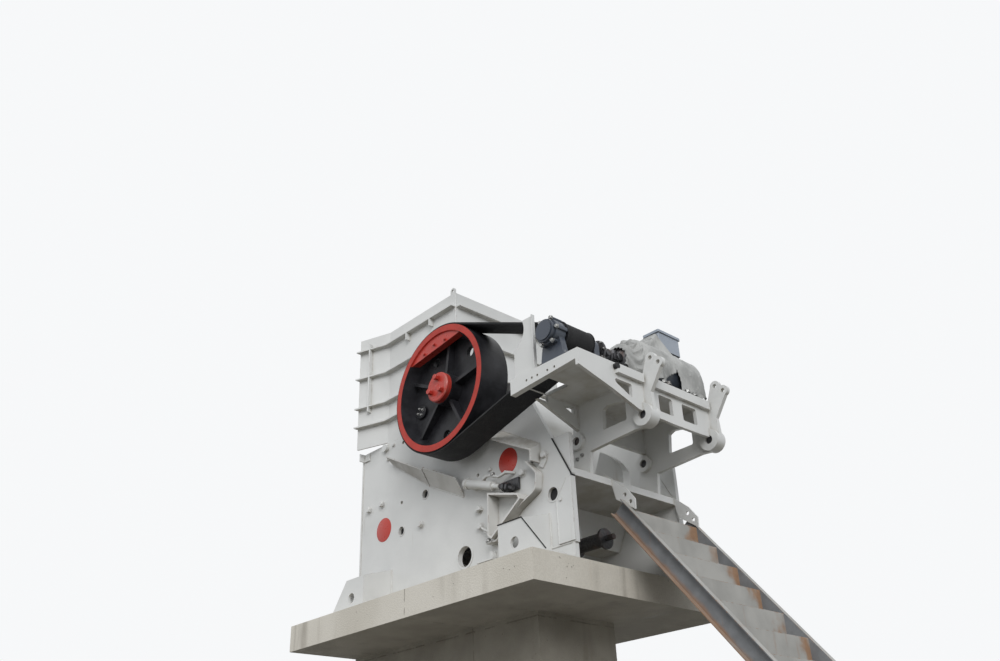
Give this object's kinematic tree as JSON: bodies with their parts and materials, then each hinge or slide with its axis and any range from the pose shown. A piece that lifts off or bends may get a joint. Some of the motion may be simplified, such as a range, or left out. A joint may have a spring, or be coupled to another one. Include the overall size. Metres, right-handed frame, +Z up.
{
  "type": "jaw crusher on a concrete plinth",
  "caption": "Jaw crusher with feed hopper, belt-driven sheave, flywheel and rear motor bracket, standing on a concrete plinth with a steel access stair",
  "frame": {"origin": "on the ground, under the centre plane of the crusher, near the middle of the frame length", "axes": "+X from the feed end to the discharge end, +Y from the sheave side to the flywheel side, +Z up"},
  "size_m": [8.0989, 3.205, 7.9419],
  "materials": {
    "concrete": "bare cast concrete",
    "white_paint": "satin off-white machine paint",
    "red_paint": "gloss red paint",
    "wheel_black": "black painted cast iron",
    "dark_steel": "dark oiled steel",
    "jaw_steel": "cast manganese steel",
    "blue_grey_paint": "blue-grey paint",
    "belt_rubber": "matt black rubber",
    "stair_steel": "grey primer with rusty edges",
    "cover_sheet": "crumpled grey sheet"
  },
  "bodies": {
    "crusher": {"plinth_slab": "concrete", "plinth_wall_near": "concrete", "plinth_wall_far": "concrete", "plinth_end_wall": "concrete", "plinth_floor": "concrete", "side_plate_near": "white_paint", "side_plate_far": "white_paint", "frame_feet_near": "white_paint", "frame_feet_far": "white_paint", "front_frame": "white_paint", "rear_frame": "white_paint", "fixed_jaw_die": "jaw_steel", "swing_jaw_die": "jaw_steel", "cheek_plate_near": "jaw_steel", "cheek_plate_far": "jaw_steel", "swing_jaw": "white_paint", "toggle_plate": "dark_steel", "tension_rod": "dark_steel", "bearing_housing_near": "white_paint", "bearing_housing_far": "white_paint", "hopper_side_near": "white_paint", "hopper_side_far": "white_paint", "hopper_rear_wall": "white_paint", "bracket_side_near": "white_paint", "bracket_side_far": "white_paint", "bracket_rear_panel": "white_paint", "bracket_front_panel": "white_paint", "bracket_deck": "white_paint", "pulley_stand": "blue_grey_paint", "belt_shield": "white_paint", "motor": "blue_grey_paint", "terminal_box": "blue_grey_paint", "motor_cover": "cover_sheet", "drive_belt": "belt_rubber", "guard_ledges_near": "white_paint", "guard_ledges_far": "white_paint", "wedge_bracket_near": "white_paint", "wedge_bracket_far": "white_paint", "wedge_cylinder_near": "white_paint", "wedge_cylinder_far": "white_paint", "stair_stringer_near": "stair_steel", "stair_stringer_far": "stair_steel", "stair_treads": "stair_steel", "stair_hangers": "white_paint"},
    "rotor": {"sheave": "wheel_black", "flywheel": "wheel_black", "hub_cap_near": "red_paint", "hub_cap_far": "red_paint", "counterweight_near": "red_paint", "counterweight_far": "red_paint", "eccentric_shaft": "dark_steel"},
    "drive": {"drive_pulley": "wheel_black", "cardan_shaft": "dark_steel"}
  },
  "joints": [
    {"name": "rotor_spin", "type": "hinge", "parent": "crusher", "child": "rotor", "pos_m": [0.437, 0, 6.235], "axis": [0, 1, 0], "continuous": true},
    {"name": "drive_spin", "type": "hinge", "parent": "crusher", "child": "drive", "pos_m": [2.361, 0, 6.084], "axis": [0, 1, 0], "continuous": true}
  ],
  "couplings": [
    {"joint": "drive_spin", "follows": "rotor_spin", "ratio": 5.8846}
  ]
}
